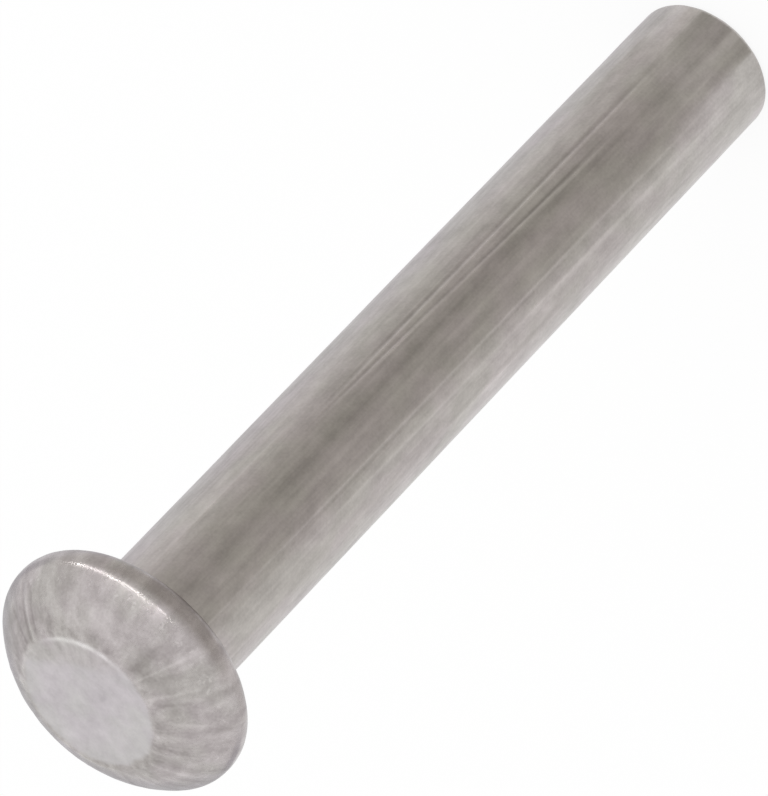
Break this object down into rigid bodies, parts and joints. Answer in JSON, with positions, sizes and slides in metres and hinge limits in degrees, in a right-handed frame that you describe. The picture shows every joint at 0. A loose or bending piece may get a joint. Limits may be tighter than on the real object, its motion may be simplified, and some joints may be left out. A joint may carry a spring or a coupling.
{
  "type": "round head rivet",
  "caption": "Solid aluminium rivet: a round head with a flattened crown, domed flank and soft rim on a plain cylindrical shank, sheared square at its end.",
  "frame": {"origin": "centre of the sheared end of the shank, on which the rivet stands", "axes": "+Z along the shank's axis towards the head"},
  "size_m": [0.0107, 0.0106, 0.043],
  "materials": {
    "bare_aluminium": "cold drawn satin, bare"
  },
  "bodies": {
    "root": {"rivet": "bare_aluminium"}
  },
  "joints": []
}
